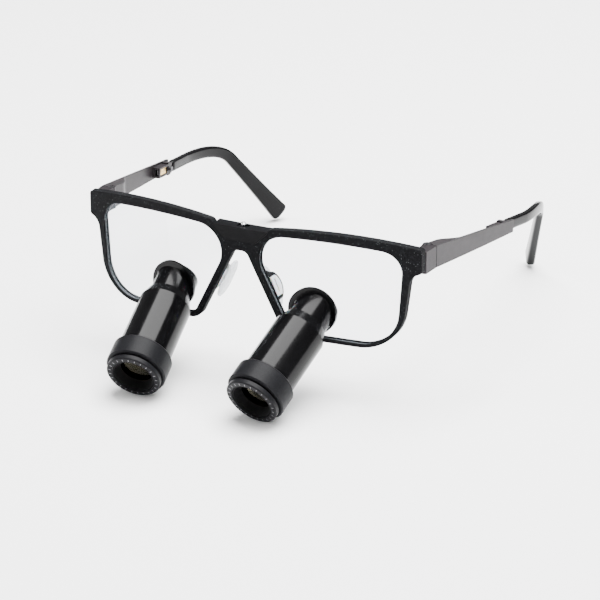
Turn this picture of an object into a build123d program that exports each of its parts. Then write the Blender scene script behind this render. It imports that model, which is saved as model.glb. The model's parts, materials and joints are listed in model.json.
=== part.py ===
from build123d import *
import os
from math import atan2, cos, degrees, radians, sin, sqrt, tan

os.makedirs("parts", exist_ok=True)

# Dental loupes of the through-the-lens kind: a printed full-rim spectacle frame whose two carrier
# lenses each hold a prism telescope, with sheet-metal temples and length-adjustable ear tips.
# Millimetres. +X is the wearer's left, -Y the way the wearer looks, +Z up. The loupes stand as on a
# table, on the two telescope rings and the two ear tips. Heights are above that table, and Y starts
# at the front's outer corners until the last section moves the origin under the middle of the whole.

# ---- Driving dimensions: front ----
front_width = 141.4         # over the end pieces
front_bow = 270.0           # radius of the outer face, seen from above
front_corner_z = 59.8       # top outer corners of the end pieces
rim_depth = 3.3             # front to back
brow_rise = 2.7             # top of the rim above the corners, over the pupil
brow_peak_x = 30.0
brow_end_drop = 0.1         # top of the rim at the end piece
brow_nose_rise = 1.2        # top of the rim beside the bridge block
rim_bottom_width = 1.5
rim_nose_width = 2.8
rim_temple_width = 3.1
rim_bottom_round = 17.0     # outer corner below the temple
end_piece_height = 9.4
end_piece_step = 1.8        # lower step between the end piece and the rim
lens_opening_left = 64.0    # temple side of the opening, from the middle
lens_opening_top = -2.5     # nose end of the opening's top, from the corner height
lens_opening_bow = 1.9      # rise of the opening's top edge at its middle
lens_opening_drop = 0.3     # fall of the opening's top edge at the temple side
lens_opening_bottom = -39.3
lens_bottom_fall = 1.0      # further fall of the bottom edge at the temple side
temple_side_lean = 0.06     # inward run per millimetre down, opening and rim alike
nose_side_lean = 0.5        # outward run per millimetre down
nose_side_x = 2.3           # where the leaning side meets the opening's top
nose_top_round = 10.5
nose_bottom_round = 5.0
temple_top_round = 8.5
temple_bottom_round = 14.0
arch_drop = 9.3             # crown of the nose arch below the corners
arch_round = 2.8
edge_round = 0.3
groove_depth = 0.6
groove_width = 1.9
groove_setback = 0.6
lens_thickness = 1.75
lens_clearance = 0.05

# ---- Driving dimensions: bridge ----
bridge_half_width = 11.4
bridge_bottom_half_width = 6.6
bridge_top_drop = 0.1       # top of the block below the corners
bridge_seam_drop = 5.5      # bottom of the block below the corners
bridge_depth = 5.5
bridge_boss_half_width = 9.0
bridge_clearance = 0.05
bridge_wall = 0.7           # frame left between the block and a lens groove
pin_radius = 1.1
pin_stands_out = 1.3
pin_dome = 0.4
pin_shank_radius = 0.85
pin_shank_length = 3.5
pin_set_in = 3.2
pin_slot_length = 4.6
pin_slot_width = 2.6
pin_slot_depth = 0.6

# ---- Driving dimensions: nose arms and pads ----
nose_arm_thickness = 1.3
nose_arm_x = 11.4           # middle of the pad's loop, from the middle of the front
nose_arm_drop = 24.0        # and below the corners
nose_arm_y = -1.9
nose_arm_lean = 25.0        # degrees off vertical, wider at the bottom
nose_arm_flare = 4.0        # degrees, wider at the back
loop_height = 10.6
loop_back = 3.4             # loop's reach behind its middle
loop_wall = 1.3
window_front = 3.1
clip_clearance = 0.15
clip_stands_out = 0.6
pad_height = 17.5
pad_width = 9.0
pad_thickness = 3.1
pad_edge = 1.2
pad_gap = 0.15

# ---- Driving dimensions: temples ----
temple_splay = 5.55         # degrees, plan view
temple_slope = 7.5          # degrees down to the back
hinge_at = 11.2              # hinge axis behind the corner, along the temple
hinge_inset = 4.0           # hinge axis inward of the outer face
hinge_gap = 0.3
hinge_block = 5.0           # thickness of the hinge block
knuckle_radius = 1.7
knuckle_clearance = 0.3
knuckle_height = 2.9        # middle knuckle
knuckle_slit = 0.12
screw_radius = 0.7
screw_fit = 0.05
screw_head_radius = 1.25
screw_head_height = 0.6
block_end = 19.5            # where the hinge block starts to taper
sheet_start = 32.0          # where only the sheet is left
sheet_thickness = 1.0
sheet_end = 74.0
temple_top_front = -1.9     # top edge at the hinge, from the corner height
temple_top_back = -12.3
temple_bottom_front = -10.6
temple_bottom_back = -17.2
temple_bow = 0.2            # belly of the lower edge

# ---- Driving dimensions: temple sleeve and ear tip ----
sleeve_length = 12.5
sleeve_set_in = 3.8         # sleeve's end ahead of the sheet's
sleeve_wall = 0.7
tongue_height = 2.6
tongue_thickness = 1.2
tongue_fit = 0.1
tongue_in_sleeve = 10.5
tongue_in_tip = 14.5
lip_length = 2.4            # taller lip near the sleeve's end
lip_height = 5.2
lip_set_in = 1.2
window_length = 6.8
window_set_in = 4.7         # window's end ahead of the sleeve's
window_height = 2.8
detent_thickness = 0.3
clamp_screw_radius = 0.75
tip_gap = 1.3               # bare tongue between the sleeve and the tip
tip_clearance = 0.3         # between the tip and the sheet beside it
tip_straight = 15.5
ear_back = 41.6             # ear bend behind the tip's front end
ear_inward = 4.7            # and inward of the slide's line
ear_rise = 1.7
ear_round = 10.0            # reach of the bend before and after the ear point
tip_bend_angle = 42.6       # degrees further down after the bend
tip_inward = 33.5           # degrees inward after the bend
tip_drop_length = 50.8      # from the ear point to the tip's end
tip_front_height = 4.5
tip_front_thickness = 2.9
tip_end_height = 8.2
tip_end_thickness = 4.0
tip_end_round = 2.2

# ---- Driving dimensions: telescopes ----
aim_x = 29.7                # where a telescope's axis crosses the front's outer face
aim_drop = 30.2
declination = 26.0          # degrees below level
convergence = 6.7          # degrees towards the middle
face_to_front = 46.1        # telescope face to that crossing, along the axis
barrel_radius = 10.15
barrel_wall = 1.0
barrel_front = 2.0
barrel_shoulder = 36.0
cone_end = 40.0
cone_end_radius = 8.75
land_depth = 0.2            # front land under the outer ring, below the barrel's surface
outer_ring_radius = barrel_radius + 1.55
outer_ring_front = 2.7
outer_ring_back = 11.3
ring_chamfer = 0.5
face_radius = barrel_radius + 0.45
face_chamfer = 0.35
face_inner_radius = barrel_radius - 1.75
skirt_end = 4.2
spanner_hole_radius = 0.35
spanner_hole_at = barrel_radius - 0.45
spanner_hole_depth = 0.8
hood_front = 0.3
hood_front_radius = barrel_radius - 2.45
hood_back_radius = barrel_radius - 3.85
objective_front = 4.3
objective_edge = 3.2
objective_crown = 0.9
carrier_front = 14.0
carrier_back = 34.6
prism_size = 2 * (barrel_radius - barrel_wall) - 7.3
prism_air = 0.3
ocular_radius = 7.9
ocular_wall = 0.9
ocular_back = 52.0
ocular_spigot = 37.5
ocular_spigot_radius = 6.6
eyepiece_edge = 2.2
eyepiece_crown = 0.6
fit_gap = 0.05              # seats of optical parts
lens_rim = 1.05             # flat rim of a round lens
flange_radius = 9.5
flange_x = 29.7             # middle of the flange, from the middle of the front
flange_rise = 1.3           # and above the point that the telescope aims at
flange_height = 1.3

# ---- Shared places ----
half_width = front_width / 2
bow_centre_y = sqrt(front_bow ** 2 - half_width ** 2)
parts = {}


def keep(name, solid):
    """A piece that lies on the middle plane, or is its own mirror image."""
    solid.label = name
    parts[name] = solid


def keep_pair(name, solid):
    """The wearer's left piece as modelled, and its mirror image as the right one."""
    keep(name + "_left", solid)
    keep(name + "_right", mirror(solid, about=Plane.YZ))


def shell_between(outer, inner, height=140.0):
    """Upright curved slab, concentric with the front's outer face, between two radii."""
    slab = Cylinder(outer, height) - Cylinder(inner, height)
    return Pos(0, bow_centre_y, front_corner_z - 20) * slab


def front_y(x, setback=0.0):
    """Y of the front's outer face, or of a surface behind it, at a distance from the middle."""
    return bow_centre_y - sqrt((front_bow - setback) ** 2 - x ** 2)


def from_front(sketch, depth=60.0):
    """An outline seen from the front, in X and height from the corners, carried along Y."""
    plane = Plane(origin=(0, 20, front_corner_z), x_dir=(1, 0, 0), z_dir=(0, -1, 0))
    return extrude(plane * sketch, amount=depth, dir=(0, -1, 0))


def at_corner(sketch, x, z, radius):
    """Rounds the corner of an outline that is nearest to a point."""
    corner = min(sketch.vertices(), key=lambda v: (v.X - x) ** 2 + (v.Y - z) ** 2)
    return fillet(corner, radius)


# ---- Front frame: printed rims, bridge and end pieces in one ----
def nose_side(z, offset=0.0):
    """X of the leaning nose side at a height, moved towards the middle by a rim width."""
    lean = atan2(nose_side_lean, 1)
    return nose_side_x + (lens_opening_top - z) * nose_side_lean - offset / cos(lean)


def temple_side(z, offset=0.0):
    """X of the opening's temple side at a height, or of the rim's outer side beyond it."""
    return lens_opening_left + offset - (lens_opening_top - z) * temple_side_lean


def lens_outline():
    top_temple = lens_opening_top - lens_opening_drop
    nose_top = (nose_side_x, lens_opening_top)
    temple_top = (temple_side(top_temple), top_temple)
    low = lens_opening_bottom - lens_bottom_fall
    temple_bottom = (temple_side(low), low)
    nose_bottom = (nose_side(lens_opening_bottom), lens_opening_bottom)
    top_middle = ((nose_top[0] + temple_top[0]) / 2, lens_opening_top + lens_opening_bow)
    edges = [
        ThreePointArc(nose_top, top_middle, temple_top),
        Line(temple_top, temple_bottom),
        Line(temple_bottom, nose_bottom),
        Line(nose_bottom, nose_top),
    ]
    face = make_face(edges)
    face = at_corner(face, *nose_top, nose_top_round)
    face = at_corner(face, *temple_top, temple_top_round)
    face = at_corner(face, *temple_bottom, temple_bottom_round)
    return at_corner(face, *nose_bottom, nose_bottom_round)


def rim_outline():
    """Half of the front's outline, from the middle to the end piece."""
    bottom = lens_opening_bottom - rim_bottom_width
    step = -end_piece_height - end_piece_step
    side_top = (temple_side(step, rim_temple_width), step)
    low = bottom - lens_bottom_fall
    side_bottom = (temple_side(low, rim_bottom_width), low)
    end_top = (half_width, -brow_end_drop)
    nose_top = nose_side(-arch_drop, rim_nose_width)
    nose_bottom = nose_side(bottom, rim_nose_width)
    brow_end = (bridge_half_width + 1.0, brow_nose_rise)
    edges = [
        Line((0, -arch_drop), (0, -bridge_top_drop)),
        Line((0, -bridge_top_drop), (bridge_half_width, -bridge_top_drop)),
        Line((bridge_half_width, -bridge_top_drop), brow_end),
        ThreePointArc(brow_end, (brow_peak_x, brow_rise), end_top),
        Line(end_top, (half_width, -end_piece_height)),
        Line((half_width, -end_piece_height), side_top),
        Line(side_top, side_bottom),
        Line(side_bottom, (nose_bottom, bottom)),
        Line((nose_bottom, bottom), (nose_top, -arch_drop)),
        Line((nose_top, -arch_drop), (0, -arch_drop)),
    ]
    face = make_face(edges)
    face = at_corner(face, *end_top, 1.2)
    face = at_corner(face, half_width, -end_piece_height, 1.0)
    face = at_corner(face, *side_top, 5.0)
    face = at_corner(face, *side_bottom, rim_bottom_round)
    face = at_corner(face, nose_bottom, bottom, nose_bottom_round + rim_bottom_width)
    face = at_corner(face, nose_top, -arch_drop, arch_round)
    return at_corner(face, *brow_end, 2.0)


def bridge_shape(gap=0.0):
    """The block's space seen from the front, kept a wall away from the lens grooves."""
    top = -bridge_top_drop + 3 * gap
    points = [
        (-bridge_half_width - gap, top),
        (bridge_half_width + gap, top),
        (bridge_half_width + gap, -bridge_top_drop - 0.6),
        (bridge_bottom_half_width + gap, -bridge_seam_drop - gap),
        (-bridge_bottom_half_width - gap, -bridge_seam_drop - gap),
        (-bridge_half_width - gap, -bridge_top_drop - 0.6),
    ]
    shape = from_front(make_face(Polyline(*points, close=True)))
    lens_side = from_front(offset(opening, groove_depth + bridge_wall - gap))
    return shape - lens_side - mirror(lens_side, about=Plane.YZ)


opening = lens_outline()
groove = offset(opening, groove_depth)
rim_shell = shell_between(front_bow, front_bow - rim_depth)
groove_shell = shell_between(front_bow - groove_setback, front_bow - groove_setback - groove_width)
boss_shell = shell_between(front_bow, front_bow - bridge_depth)

half_rim = from_front(rim_outline() - opening) & rim_shell
half_rim -= from_front(groove) & groove_shell
boss_outline = make_face(
    Polyline(
        (-bridge_boss_half_width, -bridge_top_drop),
        (bridge_boss_half_width, -bridge_top_drop),
        (nose_side(-arch_drop, rim_nose_width) - 1.0, -arch_drop),
        (1.0 - nose_side(-arch_drop, rim_nose_width), -arch_drop),
        close=True,
    )
)
boss = from_front(boss_outline) & boss_shell
boss -= from_front(groove) & groove_shell
boss -= mirror(from_front(groove) & groove_shell, about=Plane.YZ)
front_frame = half_rim + mirror(half_rim, about=Plane.YZ) + boss
front_frame -= bridge_shape(bridge_clearance)


def on_bow(edge, radius):
    """True for an edge that lies on an upright cylinder about the front's bow, beside the bridge."""
    ends = (edge @ 0, edge @ 0.5, edge @ 1)
    beside = abs((edge @ 0.5).X) > bridge_half_width + 1.1
    return beside and all(abs(Vector(p.X, p.Y - bow_centre_y).length - radius) < 0.01 for p in ends)


for radius in (front_bow, front_bow - rim_depth):
    face_edges = [edge for edge in front_frame.edges() if on_bow(edge, radius)]
    front_frame = fillet(face_edges, edge_round)
keep("front_frame", front_frame)


# ---- Bridge block and its steel pin ----
block = bridge_shape() & boss_shell
pin_y = front_y(0) + pin_set_in
block_top_z = front_corner_z - bridge_top_drop
pin_slot = Pos(0, pin_y, block_top_z) * Box(pin_slot_length, pin_slot_width, 2 * pin_slot_depth)
pin_hole = Pos(0, pin_y, block_top_z - 2) * Cylinder(pin_shank_radius + bridge_clearance, 4)
keep("bridge_block", block - pin_slot - pin_hole)

pin_head = Cylinder(pin_radius, pin_stands_out)
pin_head = chamfer(pin_head.edges().sort_by(Axis.Z)[-1], pin_dome)
pin_shank = Cylinder(pin_shank_radius, pin_shank_length)
bridge_pin = Pos(0, pin_y, block_top_z + pin_stands_out / 2) * pin_head
bridge_pin += Pos(0, pin_y, block_top_z - pin_shank_length / 2) * pin_shank
keep("bridge_pin", bridge_pin)


# ---- Telescope axes ----
aim_point = Vector(aim_x, front_y(aim_x), front_corner_z - aim_drop)
axis_back = Vector(
    cos(radians(declination)) * sin(radians(convergence)),
    cos(radians(declination)) * cos(radians(convergence)),
    sin(radians(declination)),
)
face_centre = aim_point - axis_back * face_to_front
telescope_plane = Plane(origin=face_centre, x_dir=(1, 0, 0), z_dir=axis_back)


def on_axis(solid):
    """From a telescope's own frame, face at zero and +Z to the eye, into the loupes."""
    return telescope_plane.location * solid


def turned(points):
    """A ring turned on the telescope's axis, from its half section as radius and station."""
    half_section = make_face(Polyline(*[(r, 0, s) for r, s in points], close=True))
    return revolve(half_section, Axis.Z)


def disc(radius, front, back):
    return Pos(0, 0, (front + back) / 2) * Cylinder(radius, back - front)


def cap_edges(radius, edge, crown):
    """Half section of a lens face: a flat rim, and inside it a flat or an arc of the crown's height."""
    clear = radius - lens_rim
    rim = Line((clear, 0, edge), (radius, 0, edge))
    if crown == 0:
        return [Line((0, 0, edge), (clear, 0, edge)), rim]
    return [ThreePointArc((-clear, 0, edge), (0, 0, edge + crown), (clear, 0, edge)).trim(0.5, 1.0), rim]


def crowned_lens(radius, front, edge, front_crown, back_crown):
    """A glass disc with a flat rim and a spherical crown on each side."""
    back = front + edge
    edges = [
        Line((0, 0, front - front_crown), (0, 0, back + back_crown)),
        Line((radius, 0, back), (radius, 0, front)),
    ]
    edges += cap_edges(radius, back, back_crown) + cap_edges(radius, front, -front_crown)
    return revolve(make_face(edges), Axis.Z)


# ---- Carrier lenses: clear, bowed with the front, each bored for its telescope ----
lens_front = front_bow - groove_setback - (groove_width - lens_thickness) / 2
lens_shell = shell_between(lens_front, lens_front - lens_thickness)
lens_edge = offset(opening, groove_depth - lens_clearance)
lens_bore = on_axis(disc(ocular_radius + fit_gap, cone_end, ocular_back + 10))
carrier_lens = (from_front(lens_edge) & lens_shell) - lens_bore
keep_pair("carrier_lens", carrier_lens)

# ---- Telescopes ----
land_radius = barrel_radius - land_depth
bore_radius = barrel_radius - barrel_wall
barrel = turned([
    (bore_radius, barrel_front),
    (land_radius, barrel_front),
    (land_radius, outer_ring_back + 0.2),
    (barrel_radius, outer_ring_back + 0.2),
    (barrel_radius, barrel_shoulder),
    (cone_end_radius, cone_end),
    (ocular_spigot_radius + fit_gap, cone_end),
    (ocular_spigot_radius + fit_gap, carrier_back + fit_gap),
    (bore_radius, carrier_back + fit_gap),
])
keep_pair("barrel", on_axis(barrel))

outer_ring = turned([
    (land_radius + fit_gap / 2, outer_ring_front),
    (outer_ring_radius - ring_chamfer, outer_ring_front),
    (outer_ring_radius, outer_ring_front + ring_chamfer),
    (outer_ring_radius, outer_ring_back - ring_chamfer),
    (outer_ring_radius - ring_chamfer, outer_ring_back),
    (land_radius + fit_gap / 2, outer_ring_back),
])
keep_pair("outer_ring", on_axis(outer_ring))

skirt_radius = bore_radius - fit_gap
face_ring = turned([
    (face_inner_radius, 0),
    (face_radius - face_chamfer, 0),
    (face_radius, face_chamfer),
    (face_radius, barrel_front - fit_gap),
    (skirt_radius, barrel_front - fit_gap),
    (skirt_radius, skirt_end),
    (face_inner_radius, skirt_end),
])
spanner_hole = Cylinder(spanner_hole_radius, 2 * spanner_hole_depth)
face_ring -= PolarLocations(spanner_hole_at, 2) * spanner_hole
keep_pair("face_ring", on_axis(face_ring))

hood_radius = face_inner_radius - fit_gap
glare_hood = turned([
    (hood_front_radius, hood_front),
    (hood_radius, hood_front),
    (hood_radius, skirt_end - 0.1),
    (hood_back_radius, skirt_end - 0.1),
    (hood_back_radius, skirt_end - 0.6),
])
# The objective's crown stands inside the hood.
glare_hood -= crowned_lens(skirt_radius, objective_front - fit_gap, 1.0, objective_crown, 0.0)
keep_pair("glare_hood", on_axis(glare_hood))

objective = crowned_lens(skirt_radius, objective_front, objective_edge, objective_crown, 0.0)
keep_pair("objective_lens", on_axis(objective))

spacer_front = objective_front + objective_edge + fit_gap
spacer = disc(skirt_radius, spacer_front, carrier_front - fit_gap)
spacer -= disc(skirt_radius - 1.0, spacer_front - 1, carrier_front + 1)
keep_pair("objective_spacer", on_axis(spacer))

carrier_middle = (carrier_front + carrier_back) / 2
prism_pocket = Box(prism_size + 2 * fit_gap, prism_size + 2 * fit_gap, carrier_back)
prism_pocket = Pos(0, 0, carrier_middle) * prism_pocket
prism_carrier = disc(skirt_radius, carrier_front, carrier_back) - prism_pocket
keep_pair("prism_carrier", on_axis(prism_carrier))

half_prism = prism_size / 2
prism_front = carrier_front + 1.5
prism_lean = prism_size * tan(radians(22.5))
prism_split = prism_front + 7.0
front_prism = Polyline(
    (-half_prism, prism_front),
    (half_prism, prism_front),
    (half_prism, prism_split),
    (-half_prism, prism_split + prism_lean),
    close=True,
)
roof_prism = Polyline(
    (half_prism, prism_split + prism_air),
    (half_prism, prism_split + prism_lean + 4.5),
    (-half_prism, prism_split + prism_lean + 4.5),
    (-half_prism, prism_split + prism_lean + prism_air),
    close=True,
)
prisms = Part()
for outline in (front_prism, roof_prism):
    prisms += extrude(Plane.XZ * make_face(outline), amount=half_prism, both=True)
keep_pair("prisms", on_axis(prisms))

ocular_bore = ocular_radius - ocular_wall
ocular_seat = ocular_spigot_radius - 0.8
ocular_tube = turned([
    (ocular_seat, ocular_spigot),
    (ocular_spigot_radius, ocular_spigot),
    (ocular_spigot_radius, cone_end + fit_gap),
    (ocular_radius, cone_end + fit_gap),
    (ocular_radius, ocular_back - 0.4),
    (ocular_radius - 0.4, ocular_back),
    (ocular_bore, ocular_back),
    (ocular_bore, cone_end + 1.0),
    (ocular_seat, cone_end + 1.0),
])
keep_pair("ocular_tube", on_axis(ocular_tube))

glass_radius = ocular_bore - fit_gap
field_front = cone_end + 1.0 + fit_gap + eyepiece_crown
field_lens = crowned_lens(glass_radius, field_front, eyepiece_edge, eyepiece_crown, eyepiece_crown)
keep_pair("field_lens", on_axis(field_lens))

eyepiece_front = ocular_back - eyepiece_edge - 1.0
field_back = field_front + eyepiece_edge + fit_gap
eyepiece_spacer = disc(glass_radius, field_back, eyepiece_front - fit_gap)
eyepiece_spacer -= disc(glass_radius - 0.7, field_back - 1, eyepiece_front + 1)
keep_pair("eyepiece_spacer", on_axis(eyepiece_spacer))

eyepiece = crowned_lens(glass_radius, eyepiece_front, eyepiece_edge, eyepiece_crown, eyepiece_crown)
keep_pair("eyepiece_lens", on_axis(eyepiece))

flange_shell = shell_between(lens_front + flange_height, lens_front)
flange = from_front(Pos(flange_x, -aim_drop + flange_rise) * Circle(flange_radius)) & flange_shell
flange -= lens_bore
flange -= from_front(rim_outline() - opening) & rim_shell
keep_pair("lens_flange", flange)


# ---- Nose arms with the pad's loop, click-in clips and soft pads ----
# The arm's own plane: X to the back, Y down along the nose, Z towards the temple.
arm_lean = radians(nose_arm_lean)
arm_flare = radians(nose_arm_flare)
arm_back = Vector(sin(arm_flare), cos(arm_flare), 0)
arm_down = Vector(sin(arm_lean), 0, -cos(arm_lean))
arm_normal = arm_back.cross(arm_down).normalized()
arm_centre = Vector(nose_arm_x, nose_arm_y, front_corner_z - nose_arm_drop)
arm_plane = Plane(origin=arm_centre, x_dir=arm_back, z_dir=arm_normal)


def in_arm_plane(sketch, low, high):
    """An outline in back and down directions, carried along the plane's normal."""
    side = 1 if arm_plane.y_dir.Z < 0 else -1
    flat = sketch if side == 1 else mirror(sketch, about=Plane.XZ)
    slab = extrude(arm_plane * flat, amount=high - low, dir=arm_plane.z_dir)
    return slab.moved(Location(arm_plane.z_dir * low))


loop_half = loop_height / 2
arm_root = -12.0
arm_outline = make_face([
    Line((arm_root, -loop_half - 9), (-5.6, -loop_half - 9)),
    ThreePointArc((-5.6, -loop_half - 9), (-3.6, -loop_half - 2.4), (0.6, -loop_half)),
    ThreePointArc((0.6, -loop_half), (loop_back, 0), (0.6, loop_half)),
    Line((0.6, loop_half), (-3.0, loop_half)),
    Line((-3.0, loop_half), (arm_root, loop_half + 3)),
    Line((arm_root, loop_half + 3), (arm_root, -loop_half - 9)),
])


def window_outline(gap=0.0):
    """D-shaped window of the loop, round at the back."""
    reach = loop_half - loop_wall - gap
    front = -window_front + gap
    edges = [
        Line((front, -reach), (0.3, -reach)),
        ThreePointArc((0.3, -reach), (loop_back - loop_wall - gap, 0), (0.3, reach)),
        Line((0.3, reach), (front, reach)),
        Line((front, reach), (front, -reach)),
    ]
    return make_face(edges)


half_arm = nose_arm_thickness / 2
behind_rim = Pos(0, bow_centre_y, front_corner_z - 20) * Cylinder(front_bow - rim_depth, 140)
nose_arm = in_arm_plane(arm_outline - window_outline(), -half_arm, half_arm) & behind_rim
keep_pair("nose_arm", nose_arm)

# The pad lies on the nose side of the arm, and its clip fills the window from there.
toward_nose = 1 if arm_plane.z_dir.X < 0 else -1
pad_start = half_arm + pad_gap


def on_nose_side(sketch, near, far):
    low, high = sorted((toward_nose * near, toward_nose * far))
    return in_arm_plane(sketch, low, high)


clip = on_nose_side(window_outline(clip_clearance), -half_arm - clip_stands_out, pad_start)
clip_slot = on_nose_side(Pos(-0.9, 0) * Rectangle(0.7, loop_height / 2), -half_arm - 1.0, half_arm - 0.3)
keep_pair("pad_clip", clip - clip_slot)

pad_outline = SlotOverall(pad_height, pad_width, rotation=90)
pad_body = on_nose_side(pad_outline, pad_start, pad_start + pad_thickness)
pad_dome_radius = (pad_width ** 2 / 4 + (pad_thickness - pad_edge) ** 2) / (pad_thickness - pad_edge) / 2
dome_centre = arm_plane.origin + arm_plane.z_dir * toward_nose * (pad_start + pad_thickness - pad_dome_radius)
dome_plane = Plane(origin=dome_centre, x_dir=arm_back, z_dir=arm_down)
pad_dome = dome_plane.location * Cylinder(pad_dome_radius, pad_height + 4)
keep_pair("nose_pad", (pad_body & pad_dome) & behind_rim)


# ---- Temple frame of reference: t back along the temple, n inward from its outer face ----
splay = radians(temple_splay)
slope = radians(temple_slope)
temple_back = Vector(sin(splay), cos(splay), 0)
temple_inward = Vector(-cos(splay), sin(splay), 0)
corner = Vector(half_width, 0, front_corner_z)
side_plane = Plane(origin=corner, x_dir=temple_back, z_dir=temple_back.cross(Vector(0, 0, 1)))
top_plane = Plane(origin=corner, x_dir=temple_back, z_dir=(0, 0, 1))
slide_direction = temple_back * cos(slope) + Vector(0, 0, -sin(slope))


def at_temple(t, n, z):
    """A point at t and n, at a height from the corners."""
    return corner + temple_back * t + temple_inward * n + Vector(0, 0, z)


def from_side(sketch, near=0.0, far=8.0):
    """An outline in t and height, carried inward from near to far."""
    return extrude(side_plane * sketch, amount=far - near, dir=temple_inward).moved(
        Location(temple_inward * near)
    )


def from_above(sketch, low=-40.0, high=10.0):
    """An outline in t and n, carried up; n is measured inward."""
    return extrude(top_plane * sketch, amount=high - low, dir=(0, 0, 1)).moved(Location((0, 0, low)))


def upright(radius, low, high, gap=0.0):
    """A cylinder on the hinge axis between two heights from the corners."""
    centre = at_temple(hinge_at, hinge_inset, (low + high) / 2)
    return Pos(*centre) * Cylinder(radius + gap, high - low)


def temple_top(t):
    share = (t - hinge_at) / (sheet_end - hinge_at)
    return temple_top_front + share * (temple_top_back - temple_top_front)


def temple_bottom(t):
    share = (t - hinge_at) / (sheet_end - hinge_at)
    return temple_bottom_front + share * (temple_bottom_back - temple_bottom_front)


# ---- Hinge leaf: steel block let into the end piece ----
knuckle_middle = (temple_top(hinge_at) + temple_bottom(hinge_at)) / 2
knuckle_low = knuckle_middle - knuckle_height / 2
knuckle_high = knuckle_middle + knuckle_height / 2
leaf_back = hinge_at - hinge_gap / 2
leaf_front = 2.0
leaf_outline = make_face(
    Polyline(
        (leaf_front, temple_top(leaf_back)),
        (leaf_back, temple_top(leaf_back)),
        (leaf_back, temple_bottom(leaf_back)),
        (leaf_front, temple_bottom(leaf_back)),
        close=True,
    )
)
leaf = from_side(leaf_outline, far=hinge_block)
leaf -= upright(knuckle_radius, -30, 10, knuckle_clearance)
web = make_face(
    Polyline(
        (leaf_back - 3.0, hinge_inset - knuckle_radius),
        (hinge_at, hinge_inset - knuckle_radius),
        (hinge_at, hinge_inset + knuckle_radius),
        (leaf_back - 3.0, hinge_inset + 1.0),
        close=True,
    )
)
leaf_top = temple_top(leaf_back)
leaf_bottom = temple_bottom(leaf_back)
for low, high in ((leaf_bottom, knuckle_low - knuckle_slit), (knuckle_high + knuckle_slit, leaf_top)):
    leaf += from_above(web, low, high) + upright(knuckle_radius, low, high)
leaf &= Pos(0, bow_centre_y, front_corner_z - 20) * Cylinder(front_bow - rim_depth, 140)
leaf -= upright(screw_radius, -30, 10, screw_fit)
head_low = leaf_top - screw_head_height
leaf -= upright(screw_head_radius, head_low, 10, screw_fit)
keep_pair("hinge_leaf", leaf)

# The screw is held in the leaf's lower knuckle, and the temple turns on it.
hinge_screw = upright(screw_radius, leaf_bottom + 0.3, head_low + 0.1)
hinge_screw += upright(screw_head_radius, head_low + 0.01, leaf_top)
screw_slot = Pos(*at_temple(hinge_at, hinge_inset, leaf_top)) * Box(0.3, 4, 0.5)
keep_pair("hinge_screw", hinge_screw - screw_slot)

# ---- Temple arm: hinge block tapering into a sheet ----
arm_front = hinge_at + hinge_gap / 2
bottom_middle = (arm_front + sheet_end) / 2
arm_side = make_face([
    Line((arm_front, temple_bottom(arm_front)), (arm_front, temple_top(arm_front))),
    Line((arm_front, temple_top(arm_front)), (sheet_end, temple_top(sheet_end))),
    Line((sheet_end, temple_top(sheet_end)), (sheet_end - 0.8, temple_bottom(sheet_end))),
    ThreePointArc(
        (sheet_end - 0.8, temple_bottom(sheet_end)),
        (bottom_middle, temple_bottom(bottom_middle) - temple_bow),
        (arm_front, temple_bottom(arm_front)),
    ),
])
arm_plan = make_face([
    Line((arm_front, 0), (arm_front, hinge_block)),
    Line((arm_front, hinge_block), (block_end, hinge_block)),
    Bezier(
        (block_end, hinge_block),
        (block_end + 5.0, hinge_block),
        (sheet_start - 5.0, sheet_thickness),
        (sheet_start, sheet_thickness),
    ),
    Line((sheet_start, sheet_thickness), (sheet_end, sheet_thickness)),
    Line((sheet_end, sheet_thickness), (sheet_end, 0)),
    Line((sheet_end, 0), (arm_front, 0)),
])
temple = from_side(arm_side, far=hinge_block) & from_above(arm_plan)
temple -= upright(knuckle_radius, -30, 10, knuckle_clearance)
temple_web = make_face(
    Polyline(
        (hinge_at, hinge_inset - knuckle_radius),
        (arm_front + 3.0, hinge_inset - knuckle_radius),
        (arm_front + 3.0, hinge_inset + 1.0),
        (hinge_at, hinge_inset + knuckle_radius),
        close=True,
    )
)
temple += from_above(temple_web, knuckle_low, knuckle_high) + upright(knuckle_radius, knuckle_low, knuckle_high)
temple -= upright(screw_radius, -30, 10, screw_fit)
keep_pair("temple_arm", temple)

# ---- Sleeve: folded sheet box at the temple's end, with its window, detent and clamp screw ----
# Its own plane: X along the slide, Y up across it, Z outward.
tongue_n = sheet_thickness + tip_clearance + tip_front_thickness / 2
sleeve_end = sheet_end - sleeve_set_in
slide_end_z = (temple_top(sleeve_end) + temple_bottom(sleeve_end)) / 2
slide_origin = at_temple(sleeve_end, tongue_n, slide_end_z)
slide_plane = Plane(origin=slide_origin, x_dir=slide_direction, z_dir=-temple_inward)


def along_slide(length, height, thickness, back, up=0.0, inward=0.0):
    """A box on the slide's line that ends at back, measured from the sheet's end."""
    box = Pos(back - length / 2, up, -inward) * Box(length, height, thickness)
    return slide_plane.location * box


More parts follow.
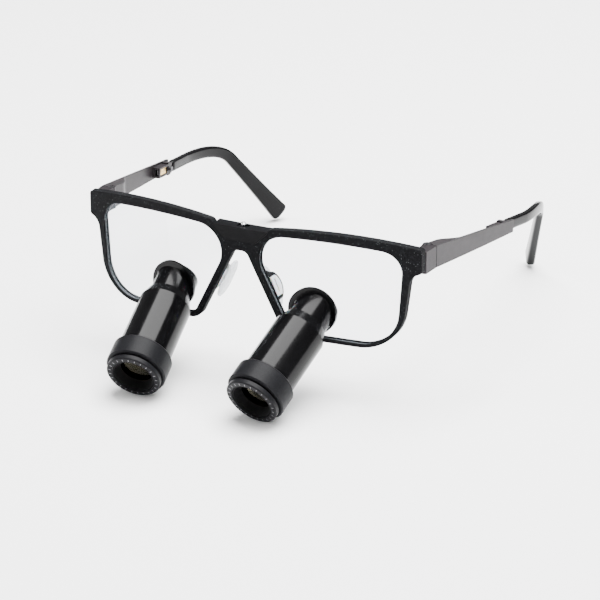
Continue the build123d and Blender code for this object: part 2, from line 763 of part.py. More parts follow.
cavity_height = tongue_height + 2 * tongue_fit
cavity_thickness = tongue_thickness + 2 * tongue_fit
sleeve_height = cavity_height + 2 * sleeve_wall
outer_wall = tongue_n - cavity_thickness / 2 - sheet_thickness
sleeve_thickness = outer_wall + cavity_thickness + sleeve_wall
sleeve_inward = (sleeve_wall - outer_wall) / 2
sleeve = along_slide(sleeve_length, sleeve_height, sleeve_thickness, 0, inward=sleeve_inward)
sleeve += along_slide(lip_length, lip_height, sleeve_thickness, -lip_set_in, inward=sleeve_inward)
sleeve -= along_slide(sleeve_length + 4, cavity_height, cavity_thickness, 2)
window_inward = cavity_thickness / 2 + 1.5
sleeve -= along_slide(window_length, window_height, 3.0, -window_set_in, inward=window_inward)
screw_back = -2.4
screw_centre = slide_plane.from_local_coords((screw_back, 0, -cavity_thickness / 2))
inward_plane = Plane(origin=screw_centre, z_dir=temple_inward)
clamp_hole = inward_plane.location * Cylinder(clamp_screw_radius + screw_fit, 4)
sleeve -= clamp_hole - along_slide(20, 20, 8, 5, inward=-4 + cavity_thickness / 2)
keep_pair("temple_sleeve", sleeve & from_side(Pos(60, -10) * Rectangle(60, 60), near=sheet_thickness, far=9))

clamp_screw = Pos(0, 0, 0.9) * Cylinder(clamp_screw_radius, 1.7)
clamp_screw += Pos(0, 0, 1.5) * Cylinder(clamp_screw_radius + 0.35, 0.7)
clamp_screw -= Pos(0, 0, 1.9) * Box(0.3, 4, 0.4)
keep_pair("clamp_screw", inward_plane.location * clamp_screw)

# ---- Ear tips: steel tongue in a moulded tip ----
tongue_back = tip_gap + tongue_in_tip
tongue = along_slide(tongue_in_sleeve + tongue_back, tongue_height, tongue_thickness, tongue_back)
tongue = chamfer(tongue.edges().filter_by(lambda e: abs(e.length - tongue_thickness) < 0.01), 0.4)
keep_pair("tip_tongue", tongue)

# Brass spring strip in the window, bearing on the tongue.
detent = along_slide(
    window_length - 0.3, window_height - 0.3, detent_thickness, -window_set_in - 0.15,
    inward=cavity_thickness / 2 + detent_thickness / 2 + 0.05,
)
keep_pair("slide_detent", detent)

# Moulded tip: straight over the tongue, bent down and inward behind the ear, then straight.
tip_front = slide_origin + slide_direction * tip_gap
ear_point = tip_front + slide_direction * ear_back + temple_inward * ear_inward + Vector(0, 0, ear_rise)
drop_heading = splay - radians(tip_inward)
drop_pitch = slope + radians(tip_bend_angle)
drop_direction = Vector(
    cos(drop_pitch) * sin(drop_heading), cos(drop_pitch) * cos(drop_heading), -sin(drop_pitch)
)
bend_start = tip_front + slide_direction * tip_straight
bend_end = ear_point + drop_direction * ear_round
tip_end = ear_point + drop_direction * tip_drop_length
straight_part = Line(tip_front, bend_start)
bent_part = Bezier(bend_start, bend_start + slide_direction * ear_round, ear_point, bend_end)
drop_part = Line(bend_end, tip_end)


def tip_section(part, share, height, thickness):
    """A rounded section of the tip, upright across the path at a share of one of its parts."""
    tangent = part % share
    across = tangent.cross(Vector(0, 0, 1)).normalized()
    plane = Plane(origin=part @ share, x_dir=across, z_dir=tangent)
    return plane * RectangleRounded(thickness, height, min(height, thickness) * 0.36)


tip_path = (straight_part, bent_part, drop_part)
tip_length = sum(part.length for part in tip_path)
sections = []
passed = 0.0
for part, steps in zip(tip_path, (2, 8, 6)):
    for step in range(steps):
        grown = ((passed + part.length * step / steps) / tip_length) ** 3
        height = tip_front_height + grown * (tip_end_height - tip_front_height)
        thickness = tip_front_thickness + grown * (tip_end_thickness - tip_front_thickness)
        sections.append(tip_section(part, step / steps, height, thickness))
    passed += part.length
for before_end, size in ((tip_end_round, 1.0), (0.45 * tip_end_round, 0.92), (0.0, 0.66)):
    share = 1 - before_end / drop_part.length
    sections.append(tip_section(drop_part, share, tip_end_height * size, tip_end_thickness * size))
tip = loft(sections, ruled=True)
tip -= along_slide(
    tongue_in_tip + 2.2, tongue_height + 2 * fit_gap, tongue_thickness + 2 * fit_gap, tongue_back + 0.2
)
keep_pair("ear_tip", tip)


# ---- Origin under the middle of the whole, on the table ----
boxes = [solid.bounding_box() for solid in parts.values()]
low = [min(tuple(box.min)[axis] for box in boxes) for axis in range(3)]
high = [max(tuple(box.max)[axis] for box in boxes) for axis in range(3)]
to_origin = Location((-(low[0] + high[0]) / 2, -(low[1] + high[1]) / 2, -low[2]))
for name, solid in parts.items():
    export_step(solid.moved(to_origin), "parts/" + name + ".step")
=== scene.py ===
import json

import bmesh
import bpy
import numpy as np
from mathutils import Matrix, Vector


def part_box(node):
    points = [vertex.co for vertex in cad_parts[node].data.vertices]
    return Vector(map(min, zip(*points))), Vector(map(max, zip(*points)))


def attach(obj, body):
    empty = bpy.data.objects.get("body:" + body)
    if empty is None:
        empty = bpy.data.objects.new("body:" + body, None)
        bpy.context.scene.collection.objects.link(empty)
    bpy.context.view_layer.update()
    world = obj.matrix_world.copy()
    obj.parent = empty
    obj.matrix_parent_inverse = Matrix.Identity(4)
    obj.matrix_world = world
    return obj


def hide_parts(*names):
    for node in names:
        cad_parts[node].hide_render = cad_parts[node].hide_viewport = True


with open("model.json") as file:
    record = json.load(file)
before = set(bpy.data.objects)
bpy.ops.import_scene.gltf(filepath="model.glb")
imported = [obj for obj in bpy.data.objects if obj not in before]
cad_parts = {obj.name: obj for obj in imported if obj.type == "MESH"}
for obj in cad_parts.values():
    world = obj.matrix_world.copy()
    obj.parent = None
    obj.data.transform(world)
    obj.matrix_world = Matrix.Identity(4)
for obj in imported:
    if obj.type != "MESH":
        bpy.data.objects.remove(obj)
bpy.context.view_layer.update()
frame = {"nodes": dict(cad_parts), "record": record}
nodes = frame["nodes"]
mounts = {mount["name"]: mount for mount in frame["record"]["mounts"]}

MM = 0.001
SIDES = ("left", "right")


# ---------------------------------------------------------------------------
# Front frame. One piece of black nylon, grown grain by grain from powder, so
# its skin is rough and speckled. The lens grooves and end pieces are in it.
# ---------------------------------------------------------------------------
class Wire:
    """A value or colour inside a finish. Arithmetic on it adds the Math nodes."""

    def __init__(self, tree, socket):
        self.tree = tree
        self.socket = socket

    def node(self, kind, settings, inputs, output=0):
        """Adds a node: its settings first, then the values or wires of its sockets."""
        made = self.tree.nodes.new("ShaderNode" + kind)
        for name, value in settings.items():
            setattr(made, name, value)
        for name, value in inputs.items():
            if isinstance(value, Wire):
                self.tree.links.new(value.socket, made.inputs[name])
            else:
                made.inputs[name].default_value = value
        return Wire(self.tree, made.outputs[output])

    def math(self, operation, *others):
        return self.node("Math", {"operation": operation}, dict(enumerate((self, *others))))

    def __add__(self, other):
        return self.math("ADD", other)

    __radd__ = __add__

    def __mul__(self, other):
        return self.math("MULTIPLY", other)

    __rmul__ = __mul__

    def __sub__(self, other):
        return self.math("SUBTRACT", other)

    def __rsub__(self, other):
        return (self * -1.0) + other

    def __truediv__(self, other):
        return self.math("DIVIDE", other)

    def above(self, low, high):
        """0 under low, 1 over high, and a straight run between."""
        return self.node("MapRange", {"clamp": True}, {"Value": self, "From Min": low, "From Max": high})

    def tint(self, low, high):
        """The colour that goes from low to high as this value goes from 0 to 1."""
        return self.node("Mix", {"data_type": "RGBA"}, {0: self, 6: low, 7: high}, output=2)

    def part(self, axis):
        return self.node("SeparateXYZ", {}, {0: self}, output=axis)


class Finish:
    """A surface finish: its shader's fixed values, and the wires that vary over the surface."""

    def __init__(self, name, **fixed):
        self.material = bpy.data.materials.new(name)
        self.material.use_nodes = True
        self.tree = self.material.node_tree
        self.shader = self.tree.nodes["Principled BSDF"]
        for socket, value in fixed.items():
            self.shader.inputs[socket.replace("_", " ").title().replace("Ior", "IOR")].default_value = value
        self.surface = Wire(self.tree, self.shader.outputs[0])
        self.place = self.surface.node("TexCoord", {}, {}, output="Object")

    def noise(self, scale, detail=3.0, roughness=0.55, place=None):
        """Cloudy pattern of the given number of lumps to the metre, from 0 to 1."""
        return self.place.node("TexNoise", {}, {
            "Vector": place or self.place, "Scale": scale, "Detail": detail, "Roughness": roughness,
        })

    def stretched(self, x, y, z, turn=(0.0, 0.0, 0.0)):
        """The place after a turn, with each direction scaled, for brushed and drawn patterns."""
        return self.place.node("Mapping", {"vector_type": "TEXTURE"}, {
            "Vector": self.place, "Rotation": turn, "Scale": (1 / x, 1 / y, 1 / z),
        })

    def feed(self, socket, wire):
        self.tree.links.new(wire.socket, self.shader.inputs[socket])

    def shade(self, pattern, low, high, dark, light):
        """Base colour that goes from dark to light as the pattern goes from low to high."""
        self.feed("Base Color", pattern.above(low, high).tint((*dark, 1), (*light, 1)))

    def relief(self, height, depth, strength=1.0):
        """Bump of the given depth in metres where height goes from 0 to 1."""
        bump = self.place.node("Bump", {}, {"Height": height, "Distance": depth, "Strength": strength})
        self.feed("Normal", bump)

    def see_through(self, clear_colour, share):
        """Lets light straight through, tinted, except for the share that the shader keeps."""
        clear = self.place.node("BsdfTransparent", {}, {"Color": clear_colour})
        mixed = self.place.node("MixShader", {}, {0: share, 1: clear, 2: self.surface})
        self.tree.links.new(mixed.socket, self.tree.nodes["Material Output"].inputs["Surface"])

    def on(self, *names):
        """Gives this finish to CAD parts, by name or by pair name."""
        for name in names:
            for full in (name, name + "_left", name + "_right"):
                if full in nodes:
                    for slot in nodes[full].material_slots:
                        slot.material = self.material


GRAINS_PER_METRE = 1500.0

printed = Finish("printed nylon", specular_ior_level=0.05)
powder = printed.noise(1700.0, 4.0, 0.7)
clumps = printed.noise(330.0, 2.0, 0.5)
cells = {"Vector": printed.place, "Scale": GRAINS_PER_METRE}
grains = printed.place.node("TexVoronoi", {}, cells)
grain_luck = printed.place.node("TexVoronoi", {}, cells, output=1).part(0)
pale_grain = (1 - grains.above(0.12, 0.34)) * grain_luck.above(0.74, 0.86)
skin = powder.above(0.36, 0.7).tint((0.0006, 0.0006, 0.0008, 1), (0.0115, 0.012, 0.0138, 1))
skin = clumps.above(0.35, 0.7).tint(skin, (0.0035, 0.0036, 0.0043, 1))
skin = (pale_grain * 0.75).tint(skin, (0.075, 0.082, 0.085, 1))
printed.feed("Base Color", skin)
printed.feed("Roughness", powder * 0.3 + 0.52)
printed.relief(powder * 0.65 + (1 - grains) * 0.35, 0.09 * MM, 0.75)
printed.on("front_frame")


# ---------------------------------------------------------------------------
# Bridge block. A smooth moulded block that carries the headlight pin. It slides
# into the front from above and shows the faint layers it was built in.
# ---------------------------------------------------------------------------
LAYER = 0.28 * MM

block = Finish("bridge nylon", specular_ior_level=0.06)
layers = (block.place.part(2) * (2 * np.pi / LAYER)).math("SINE") * 0.5 + 0.5
soft_grain = block.noise(1400.0, 3.0)
scuffs = block.noise(140.0, 3.0)
block.shade(scuffs, 0.35, 0.7, (0.0015, 0.0015, 0.002), (0.0045, 0.0045, 0.0056))
block.feed("Roughness", scuffs * 0.16 + 0.32)
block.relief(layers * 0.35 + soft_grain * 0.65, 0.018 * MM, 0.7)
block.on("bridge_block")


# ---------------------------------------------------------------------------
# Headlight pin. A turned and polished stainless pin with a domed head, pressed
# into the slot on top of the bridge block.
# ---------------------------------------------------------------------------
pin = Finish("polished steel", metallic=1.0)
turned = pin.noise(1.0, 2.0, place=pin.stretched(900.0, 900.0, 9000.0))
pin.shade(turned, 0.3, 0.7, (0.62, 0.62, 0.63), (0.86, 0.86, 0.87))
pin.feed("Roughness", turned * 0.12 + 0.1)
pin.relief(turned, 0.006 * MM, 0.5)
pin.on("bridge_pin")


# ---------------------------------------------------------------------------
# Carrier lenses. Clear plastic lenses with a hard coat, sprung into the front's
# grooves. Each has a hole through which a telescope stands.
# ---------------------------------------------------------------------------
CARRIER_IOR = 1.5

carrier = Finish("clear lens", base_color=(0.80, 0.87, 0.93, 1), roughness=0.03, ior=CARRIER_IOR)
gloss = carrier.place.node("Fresnel", {}, {"IOR": CARRIER_IOR})
wiped = carrier.noise(60.0, 2.0, place=carrier.stretched(1.0, 1.0, 3.0))
carrier.see_through((0.965, 0.97, 0.98, 1), gloss * 0.12 + wiped * 0.006 + 0.002)
carrier.on("carrier_lens")


# ---------------------------------------------------------------------------
# Telescope barrels, eyepiece tubes and lens flanges. Aluminium turned on a lathe,
# anodised black and polished; the flange is glued to the carrier lens.
# ---------------------------------------------------------------------------
ring_mount = mounts["filter_ring_left"]
AXIS = -np.array(ring_mount["axis"]) / np.linalg.norm(ring_mount["axis"])
RING_BACK = np.array(ring_mount["pos_m"])
ACROSS = np.cross(AXIS, (0.0, 0.0, 1.0))
ACROSS /= np.linalg.norm(ACROSS)
UPWARD = np.cross(ACROSS, AXIS)
TURNED_PITCH = 0.12 * MM


def along(finish, direction):
    """Distance from the middle of a ring's back edge, along a direction. Both sides are alike."""
    outward = finish.place.part(0).math("ABSOLUTE")
    plain = outward * float(direction[0])
    plain = plain + finish.place.part(1) * float(direction[1])
    plain = plain + finish.place.part(2) * float(direction[2])
    return plain - float(direction @ RING_BACK)


def turning(finish, pitch):
    """Uneven tool marks round a telescope's axis, so many metres apart."""
    return finish.place.node("TexNoise", {"noise_dimensions": "1D"}, {
        "W": along(finish, AXIS) / pitch, "Scale": 1.0, "Detail": 3.0,
    })


polished = Finish("polished black anodising", coat_weight=0.05, coat_roughness=0.05, specular_ior_level=0.09)
marks = turning(polished, TURNED_PITCH)
handled = polished.noise(90.0, 3.0)
polished.shade(handled, 0.3, 0.75, (0.0012, 0.0012, 0.0014), (0.003, 0.003, 0.0034))
polished.feed("Roughness", handled * 0.1 + marks * 0.05 + 0.1)
polished.relief(marks, 0.0012 * MM, 0.5)
polished.on("barrel", "ocular_tube", "lens_flange")


# ---------------------------------------------------------------------------
# Front rings. A bead-blasted, black anodised ring screws over each barrel; a thin
# ring in front of it holds the glass, with index marks and a key hole on its face.
# ---------------------------------------------------------------------------
MARK_STEP = np.radians(15.0)
MARK_INNER = 8.85 * MM
MARK_OUTER = 9.75 * MM
MARK_HALF_WIDTH = 0.09 * MM
MARK_SIDE_FADE = 0.07 * MM
MARK_END_FADE = 0.06 * MM
FACE_AT = -8.9 * MM
FACE_FADE = 0.2 * MM
BLASTED_PITCH = 0.2 * MM
BLASTED_DARK = (0.004, 0.004, 0.0048)
BLASTED_LIGHT = (0.010, 0.0102, 0.0115)

blasted = Finish("matt black anodising", specular_ior_level=0.06)
beads = blasted.noise(2600.0, 3.0, 0.7)
ring_marks = turning(blasted, BLASTED_PITCH)
blasted.shade(beads, 0.3, 0.75, BLASTED_DARK, BLASTED_LIGHT)
blasted.feed("Roughness", beads * 0.14 + ring_marks * 0.08 + 0.3)
blasted.relief(beads * 0.7 + ring_marks * 0.3, 0.012 * MM, 0.6)
blasted.on("outer_ring")

marked = Finish("matt black face with marks", specular_ior_level=0.06)
fine_beads = marked.noise(2600.0, 3.0, 0.7)
sideways = along(marked, ACROSS)
rising = along(marked, UPWARD)
radius = (sideways * sideways + rising * rising).math("SQRT")
angle = rising.math("ARCTAN2", sideways)
off_mark = (angle / MARK_STEP + 0.5).math("FRACT").math("SUBTRACT", 0.5).math("ABSOLUTE")
arc_off = off_mark * MARK_STEP * radius
line = 1 - arc_off.above(MARK_HALF_WIDTH, MARK_HALF_WIDTH + MARK_SIDE_FADE)
band = radius.above(MARK_INNER, MARK_INNER + MARK_END_FADE)
band = band * (1 - radius.above(MARK_OUTER, MARK_OUTER + MARK_END_FADE))
facing = 1 - along(marked, AXIS).above(FACE_AT, FACE_AT + FACE_FADE)
paint = line * band * facing
metal = fine_beads.above(0.3, 0.75).tint((*BLASTED_DARK, 1), (*BLASTED_LIGHT, 1))
marked.feed("Base Color", (paint * 0.8).tint(metal, (0.24, 0.24, 0.25, 1)))
marked.feed("Roughness", fine_beads * 0.16 + 0.3)
marked.relief(fine_beads, 0.01 * MM, 0.6)
marked.on("face_ring")


# ---------------------------------------------------------------------------
# Hoods, spacers and prism carriers. Dead black turned parts inside the telescopes.
# Fine grooves on the hood swallow stray light.
# ---------------------------------------------------------------------------
GROOVE = 0.35 * MM

dull = Finish("dull black", specular_ior_level=0.08)
dust = dull.noise(1800.0, 3.0)
grooves = (along(dull, AXIS) * (2 * np.pi / GROOVE)).math("SINE") * 0.5 + 0.5
dull.shade(dust, 0.3, 0.7, (0.0015, 0.0015, 0.0017), (0.0045, 0.0045, 0.005))
dull.feed("Roughness", dust * 0.2 + 0.6)
dull.relief(grooves * 0.8 + dust * 0.2, 0.06 * MM, 0.8)
dull.on("glare_hood", "objective_spacer", "prism_carrier", "eyepiece_spacer")


# ---------------------------------------------------------------------------
# Glass. Ground lenses and prisms with a coating that takes most of the reflection
# away and leaves a faint olive one.
# ---------------------------------------------------------------------------
COATED_IOR = 1.62

coated = Finish("coated glass", base_color=(0.22, 0.2, 0.14, 1), metallic=1.0, roughness=0.04)
coat_gloss = coated.place.node("Fresnel", {}, {"IOR": COATED_IOR})
coat_tone = coated.noise(45.0, 2.0)
coated.see_through((0.70, 0.74, 0.66, 1), coat_gloss * 1.3 + coat_tone * 0.06 + 0.03)
coated.on("objective_lens", "prisms", "field_lens", "eyepiece_lens")


# ---------------------------------------------------------------------------
# Nose arms and pad clips. The arm is a black moulding fixed behind the rim, with a
# D-shaped window; a milky plastic clip snaps into the window and holds the pad.
# ---------------------------------------------------------------------------
arm = Finish("smooth black moulding", specular_ior_level=0.2)
flow = arm.noise(70.0, 3.0, place=arm.stretched(1.0, 1.0, 0.4))
arm_skin = arm.noise(1500.0, 3.0)
arm.shade(flow, 0.3, 0.7, (0.002, 0.002, 0.0025), (0.006, 0.006, 0.007))
arm.feed("Roughness", arm_skin * 0.14 + 0.22)
arm.relief(arm_skin, 0.01 * MM, 0.5)
arm.on("nose_arm")

milky = Finish("milky clip", ior=1.45, subsurface_weight=0.4, subsurface_scale=0.001)
cloud = milky.noise(500.0, 3.0)
milky.shade(cloud, 0.3, 0.7, (0.72, 0.74, 0.76), (0.86, 0.87, 0.88))
milky.feed("Roughness", cloud * 0.15 + 0.28)
milky.relief(cloud, 0.01 * MM, 0.4)
milky.on("pad_clip")


# ---------------------------------------------------------------------------
# Nose pads. Soft pads of clear silicone, cast in one piece over the clip. They are
# long drops in outline and crowned on the side that rests on the nose.
# ---------------------------------------------------------------------------
PAD_LEAN = np.radians(25.0)
PAD_FLARE = np.radians(4.0)
PAD_HALF_LENGTH = 8.6 * MM
PAD_HALF_WIDTH = 4.2 * MM
PAD_HALF_THICKNESS = 1.5 * MM
PAD_SQUARENESS = 0.8
PAD_TAPER = 0.16
PAD_REACH = 0.985
PAD_RINGS = 49
PAD_AROUND = 64


def power(values, exponent):
    """The power of the size of each value, with its sign kept."""
    return np.sign(values) * np.abs(values) ** exponent


def surface_mesh(name, grid):
    """A tube of rings: grid holds one ring of points in each row; the ends get a flat face."""
    rings, around = grid.shape[:2]
    row, column = np.meshgrid(np.arange(rings - 1), np.arange(around), indexing="ij")
    after = (column + 1) % around
    this_ring = row * around
    next_ring = this_ring + around
    quads = (this_ring + column, this_ring + after, next_ring + after, next_ring + column)
    faces = np.stack(quads, -1).reshape(-1, 4).tolist()
    faces.append(list(range(around))[::-1])
    faces.append(list(range((rings - 1) * around, rings * around)))
    mesh = bpy.data.meshes.new(name)
    mesh.from_pydata(grid.reshape(-1, 3), [], faces)
    shell = bmesh.new()
    shell.from_mesh(mesh)
    bmesh.ops.recalc_face_normals(shell, faces=shell.faces)
    shell.to_mesh(mesh)
    shell.free()
    mesh.polygons.foreach_set("use_smooth", np.ones(len(mesh.polygons), dtype=bool))
    made = bpy.data.objects.new(name, mesh)
    bpy.context.collection.objects.link(made)
    return made


def pad_grid(centre, side):
    """A stretched ball: length as the sine of one angle, width and thickness as its cosine times
    the sine and cosine of the other, each raised to a power that squares the outline a little.
    The lower end is made wider than the upper one by a straight taper."""
    down = np.array((side * np.sin(PAD_LEAN), 0.0, -np.cos(PAD_LEAN)))
    back = np.array((side * np.sin(PAD_FLARE), np.cos(PAD_FLARE), 0.0))
    out = np.cross(back, down)
    u = np.linspace(-PAD_REACH, PAD_REACH, PAD_RINGS) * np.pi / 2
    v = np.linspace(0, 2 * np.pi, PAD_AROUND, endpoint=False)
    u, v = np.meshgrid(u, v, indexing="ij")
    length = power(np.sin(u), PAD_SQUARENESS)
    girth = power(np.cos(u), PAD_SQUARENESS)
    wide = PAD_HALF_WIDTH * girth * power(np.cos(v), PAD_SQUARENESS) * (1 + PAD_TAPER * (length - 1))
    thick = PAD_HALF_THICKNESS * girth * power(np.sin(v), PAD_SQUARENESS)
    points = centre + length[..., None] * PAD_HALF_LENGTH * down
    return points + wide[..., None] * back + thick[..., None] * out


silicone = Finish("clear silicone", base_color=(0.66, 0.68, 0.7, 1), ior=1.41, specular_ior_level=0.5)
rim_light = silicone.place.node("LayerWeight", {}, {"Blend": 0.42}, output=1)
bloom = silicone.noise(420.0, 3.0)
silicone.feed("Roughness", bloom * 0.2 + 0.16)
silicone.relief(bloom, 0.02 * MM, 0.4)
silicone.see_through((0.93, 0.94, 0.95, 1), rim_light * 0.6 + bloom * 0.14 + 0.2)

for side_name, side in zip(SIDES, (1, -1)):
    low, high = (np.array(corner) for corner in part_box("nose_pad_" + side_name))
    pad = surface_mesh("nose_pad_soft_" + side_name, pad_grid((low + high) / 2, side))
    pad.data.materials.append(silicone.material)
    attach(pad, "front")
    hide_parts("nose_pad_" + side_name)


# ---------------------------------------------------------------------------
# Hinge leaves, temples and sleeves. Stainless sheet with a satin gunmetal plating,
# brushed along its length. The leaf is let into the end piece and screwed there.
# ---------------------------------------------------------------------------
SPLAY = np.radians(5.55)
BRUSH_TURN = (0.13, 0.0, 0.0)

gunmetal = Finish("satin gunmetal", specular_ior_level=0.12)
brushed = gunmetal.noise(1.0, 4.0, 0.6, place=gunmetal.stretched(2600.0, 60.0, 2600.0, BRUSH_TURN))
mottle = gunmetal.noise(260.0, 4.0, 0.6)
plated = mottle.above(0.3, 0.72).tint((0.010, 0.0084, 0.0096, 1), (0.022, 0.0185, 0.021, 1))
plated = (brushed.above(0.45, 0.75) * 0.4).tint(plated, (0.042, 0.036, 0.04, 1))
gunmetal.feed("Base Color", plated)
gunmetal.feed("Metallic", mottle * 0.2 + 0.15)
gunmetal.feed("Roughness", brushed * 0.14 + mottle * 0.08 + 0.3)
gunmetal.relief(brushed * 0.7 + mottle * 0.3, 0.012 * MM, 0.6)
gunmetal.on("hinge_leaf", "temple_arm", "temple_sleeve")


# ---------------------------------------------------------------------------
# Screws, tongues and springs. Blackened screws; a drawn spring-steel tongue slides
# in each sleeve, and a strip of brass in the sleeve's window holds it by friction.
# ---------------------------------------------------------------------------
blackened = Finish("blackened screw", metallic=0.7)
worn = blackened.noise(1400.0, 3.0)
blackened.shade(worn, 0.45, 0.75, (0.022, 0.022, 0.025), (0.09, 0.09, 0.095))
blackened.feed("Roughness", worn * 0.2 + 0.25)
blackened.relief(worn, 0.01 * MM, 0.5)
blackened.on("hinge_screw", "clamp_screw")

drawn = Finish("drawn spring steel", metallic=1.0)
draw_lines = drawn.noise(1.0, 3.0, place=drawn.stretched(3000.0, 40.0, 3000.0, BRUSH_TURN))
drawn.shade(draw_lines, 0.3, 0.7, (0.3, 0.3, 0.31), (0.48, 0.48, 0.49))
drawn.feed("Roughness", draw_lines * 0.2 + 0.22)
drawn.relief(draw_lines, 0.008 * MM, 0.5)
drawn.on("tip_tongue")

brass = Finish("brass spring", metallic=1.0)
tarnish = brass.noise(700.0, 3.0)
brass.shade(tarnish, 0.35, 0.7, (0.72, 0.50, 0.19), (0.42, 0.27, 0.10))
brass.feed("Roughness", tarnish * 0.2 + 0.2)
brass.relief(tarnish, 0.008 * MM, 0.5)
brass.on("slide_detent")


# ---------------------------------------------------------------------------
# Ear tips. Glossy black plastic moulded over the tongue's end: straight at first,
# bent down and inward behind the ear, thicker towards a squared, rounded end.
# ---------------------------------------------------------------------------
slide = next(joint for joint in frame["record"]["behaviour"]["joints"] if joint["name"] == "tip_slide_left")
SLIDE_WAY = np.array(slide["axis"]) / np.linalg.norm(slide["axis"])
INWARD = np.array((-np.cos(SPLAY), np.sin(SPLAY), 0.0))
UP = np.array((0.0, 0.0, 1.0))
TIP_GAP = 1.3 * MM
TIP_STRAIGHT = 15.5 * MM
EAR_BACK = 41.6 * MM
EAR_INWARD = 4.7 * MM
EAR_RISE = 1.7 * MM
EAR_ROUND = 10.0 * MM
DROP_LENGTH = 50.8 * MM
TEMPLE_SLOPE = np.radians(7.5)
DROP_PITCH = TEMPLE_SLOPE + np.radians(42.6)
DROP_HEADING = SPLAY - np.radians(33.5)
FRONT_HEIGHT, FRONT_THICKNESS = 4.5 * MM, 2.9 * MM
END_HEIGHT, END_THICKNESS = 8.2 * MM, 4.0 * MM
END_ROUND = 2.2 * MM
END_BLUNTNESS = 0.93
END_TURN = (0.08, 0.985)
START_ROUND = 0.6 * MM
START_SHARE = 0.86
SECTION_SQUARENESS = 0.52
START_POINTS, BEND_POINTS, RUN_POINTS, END_POINTS = 9, 41, 16, 12
TIP_AROUND = 48


def tip_path():
    """Points along the tip's middle: a straight run, a cubic curve whose two inner handles are the
    ear point and a point as far before it, and a straight run to the end."""
    front = np.array(slide["pos_m"]) + SLIDE_WAY * TIP_GAP
    ear = front + SLIDE_WAY * EAR_BACK + INWARD * EAR_INWARD + UP * EAR_RISE
    heading = np.array((np.sin(DROP_HEADING), np.cos(DROP_HEADING), 0.0))
    way = heading * np.cos(DROP_PITCH) - UP * np.sin(DROP_PITCH)
    bend = front + SLIDE_WAY * TIP_STRAIGHT
    handles = (bend, bend + SLIDE_WAY * EAR_ROUND, ear, ear + way * EAR_ROUND)
    t = np.linspace(0, 1, BEND_POINTS)[:, None]
    weights = ((1 - t) ** 3, 3 * t * (1 - t) ** 2, 3 * t ** 2 * (1 - t), t ** 3)
    curve = sum(weight * handle for weight, handle in zip(weights, handles))
    end = ear + way * DROP_LENGTH
    before = front + (bend - front) * np.linspace(0, 1, START_POINTS)[:-1, None]
    last = END_ROUND / np.linalg.norm(end - curve[-1])
    run = np.linspace(0, 1 - last, RUN_POINTS)[1:]
    rounding = 1 - last * (1 - np.sin(np.linspace(*END_TURN, END_POINTS) * np.pi / 2))
    shares = np.concatenate((run, rounding))
    after = curve[-1] + (end - curve[-1]) * shares[:, None]
    return np.concatenate((before, curve, after))


def tip_grid(path):
    """A squared oval carried along the path. It grows with the cube of the distance gone, and over
    the last stretch it shrinks as a quarter circle does."""
    way = np.gradient(path, axis=0)
    way /= np.linalg.norm(way, axis=1)[:, None]
    across = np.cross(way, UP)
    across /= np.linalg.norm(across, axis=1)[:, None]
    up = np.cross(across, way)
    gone = np.concatenate(((0.0,), np.cumsum(np.linalg.norm(np.diff(path, axis=0), axis=1))))
    grown = (gone / gone[-1]) ** 3
    left = np.clip((gone[-1] - gone) / END_ROUND, 0, 1)
    blunt = np.sqrt(1 - (1 - left) ** 2 * END_BLUNTNESS)
    start = np.clip(gone / START_ROUND, 0, 1)
    blunt = blunt * (START_SHARE + (1 - START_SHARE) * np.sqrt(1 - (1 - start) ** 2))
    half_height = (FRONT_HEIGHT + grown * (END_HEIGHT - FRONT_HEIGHT)) * blunt / 2
    half_thickness = (FRONT_THICKNESS + grown * (END_THICKNESS - FRONT_THICKNESS)) * blunt / 2
    v = np.linspace(0, 2 * np.pi, TIP_AROUND, endpoint=False)
    sideways = half_thickness[:, None] * power(np.cos(v), SECTION_SQUARENESS)
    upward = half_height[:, None] * power(np.sin(v), SECTION_SQUARENESS)
    return path[:, None] + sideways[..., None] * across[:, None] + upward[..., None] * up[:, None]


glossy = Finish("glossy black plastic", coat_weight=0.05, coat_roughness=0.06, specular_ior_level=0.07)
wear = glossy.noise(110.0, 4.0)
fine = glossy.noise(2000.0, 3.0)
glossy.shade(wear, 0.35, 0.7, (0.0012, 0.0012, 0.0015), (0.0035, 0.0035, 0.004))
glossy.feed("Roughness", wear.above(0.5, 0.8) * 0.12 + fine * 0.05 + 0.12)
glossy.relief(fine, 0.004 * MM, 0.4)

for side_name, side in zip(SIDES, (1, -1)):
    grid = tip_grid(tip_path()) * np.array((side, 1, 1))
    tip = surface_mesh("ear_tip_moulded_" + side_name, grid)
    tip.data.materials.append(glossy.material)
    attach(tip, "tip_" + side_name)
    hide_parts("ear_tip_" + side_name)


# ---------------------------------------------------------------------------
# Floor, lights and camera. A plain pale table top under soft boxes: a wide one
# above, and a long one on each side that draws a pale streak down the barrels.
# ---------------------------------------------------------------------------
FLOOR_HALF = 4.0
WORLD_STRENGTH = 0.35

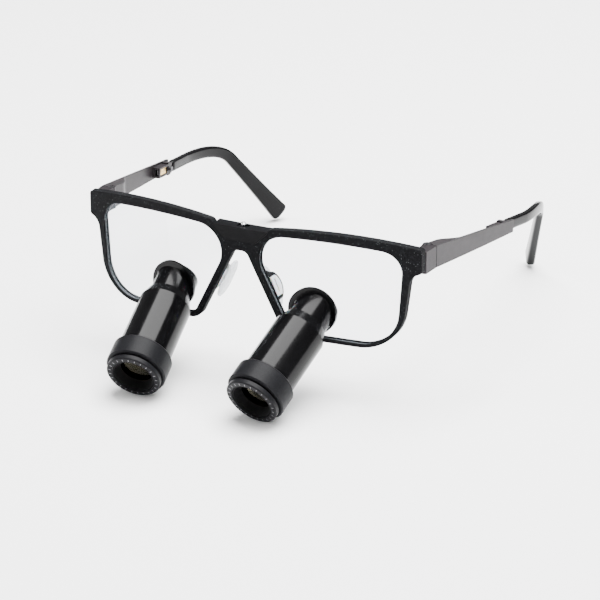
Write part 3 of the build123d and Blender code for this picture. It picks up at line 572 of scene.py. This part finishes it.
corners = [(FLOOR_HALF * x, FLOOR_HALF * y, 0) for x, y in ((-1, -1), (1, -1), (1, 1), (-1, 1))]
floor_mesh = bpy.data.meshes.new("floor")
floor_mesh.from_pydata(corners, [], [(0, 1, 2, 3)])
floor = bpy.data.objects.new("floor", floor_mesh)
bpy.context.collection.objects.link(floor)
table_top = Finish("pale table top", specular_ior_level=0.1)
table_top.feed("Base Color", table_top.noise(3.0).tint((0.93, 0.93, 0.93, 1), (0.95, 0.95, 0.95, 1)))
table_top.feed("Roughness", table_top.noise(9.0) * 0.1 + 0.8)
floor.data.materials.append(table_top.material)

world = bpy.data.worlds.new("studio")
world.use_nodes = True
world.node_tree.nodes["Background"].inputs["Color"].default_value = (1, 1, 1, 1)
world.node_tree.nodes["Background"].inputs["Strength"].default_value = WORLD_STRENGTH
bpy.context.scene.world = world


def soft_box(name, place, target, width, height, power):
    """A flat rectangular lamp that faces the target."""
    lamp = bpy.data.lights.new(name, "AREA")
    lamp.shape = "RECTANGLE"
    lamp.size = width
    lamp.size_y = height
    lamp.energy = power
    box = bpy.data.objects.new(name, lamp)
    box.location = place
    box.rotation_euler = (Vector(place) - Vector(target)).to_track_quat("Z", "Y").to_euler()
    bpy.context.collection.objects.link(box)


soft_box("overhead box", (0.1, 0.2, 1.3), (0, 0, 0), 1.2, 1.2, 105.0)
soft_box("long box right", (-1.0, -0.5, 0.7), (0, -0.05, 0.02), 0.25, 1.0, 9.0)
soft_box("long box left", (1.0, -0.2, 0.8), (0, -0.05, 0.02), 0.3, 1.0, 10.0)

CAMERA_PLACE = (0.423, -0.8586, 0.4188)
CAMERA_TURN = np.radians(26.32)
CAMERA_RISE = np.radians(23.16)
CAMERA_LENS = 156.0
CAMERA_SENSOR = 36.0
CAMERA_NEAREST = 0.01

level = np.array((np.sin(CAMERA_TURN), -np.cos(CAMERA_TURN), 0.0))
towards = Vector(level * np.cos(CAMERA_RISE) + UP * np.sin(CAMERA_RISE))
rightward = Vector((np.cos(CAMERA_TURN), np.sin(CAMERA_TURN), 0))
upright = towards.cross(rightward)
lens = bpy.data.cameras.new("camera")
lens.lens = CAMERA_LENS
lens.sensor_width = CAMERA_SENSOR
lens.clip_start = CAMERA_NEAREST
camera = bpy.data.objects.new("camera", lens)
turned_to = Matrix((rightward, upright, towards)).transposed().to_4x4()
camera.matrix_world = Matrix.Translation(CAMERA_PLACE) @ turned_to
bpy.context.collection.objects.link(camera)
bpy.context.scene.camera = camera
